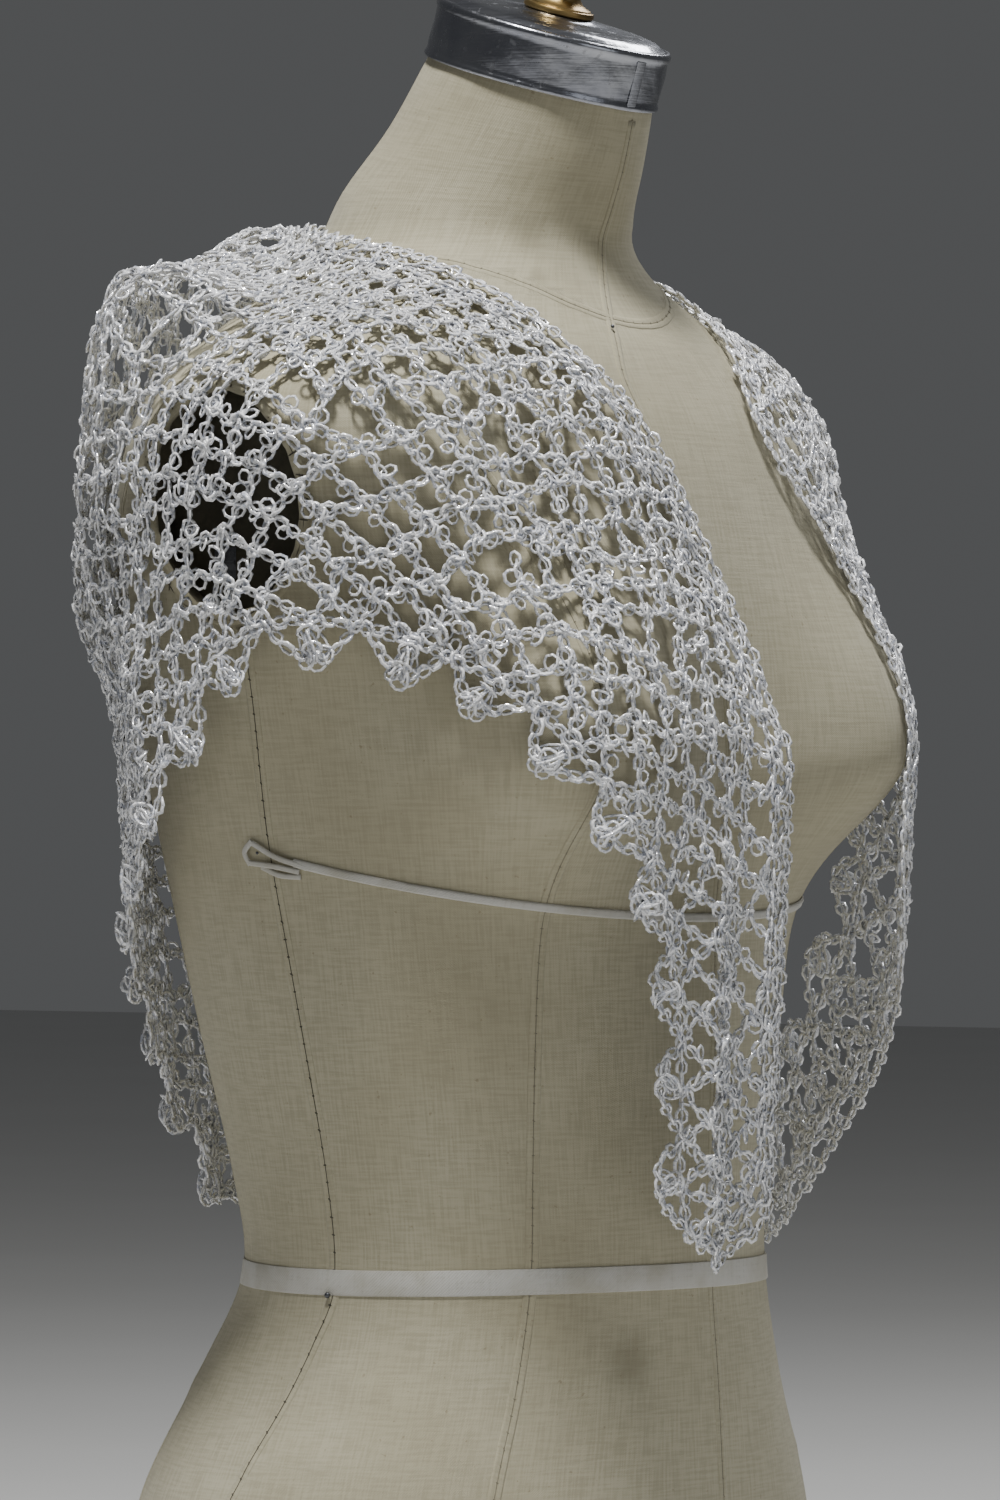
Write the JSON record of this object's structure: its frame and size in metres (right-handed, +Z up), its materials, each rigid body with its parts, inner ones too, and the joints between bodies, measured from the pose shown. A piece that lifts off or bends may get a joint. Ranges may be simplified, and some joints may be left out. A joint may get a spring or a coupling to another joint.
{
  "type": "lace shawl on a dress form",
  "caption": "Triangular crocheted lace shawl with a scalloped bobble border, draped over the shoulders of a limbless dress form.",
  "frame": {"origin": "middle of the dress form's flat base, on the floor", "axes": "+Z up, -Y towards the front of the form, -X towards the form's right shoulder"},
  "size_m": [0.3478, 0.2575, 0.699],
  "materials": {
    "lace": "glossy white yarn with a fine metallic strand",
    "canvas": "aged cream linen canvas",
    "tape": "white cotton twill tape",
    "board": "dark board",
    "steel": "polished, lightly scratched",
    "brass": "dull"
  },
  "bodies": {
    "root": {"net_back_middle": "lace", "net_back_right": "lace", "net_back_left": "lace", "net_shoulder_right": "lace", "net_shoulder_left": "lace", "net_front_right": "lace", "net_front_left": "lace", "border_back": "lace", "border_right": "lace", "border_left": "lace", "edge_band_back": "lace", "edge_band_right": "lace", "edge_band_left": "lace", "form_torso": "canvas", "form_armhole_board_right": "board", "form_armhole_board_left": "board", "form_waist_tape": "tape", "form_neck_cap": "steel", "form_cap_knob": "brass", "form_bust_tape": "tape"}
  },
  "joints": []
}
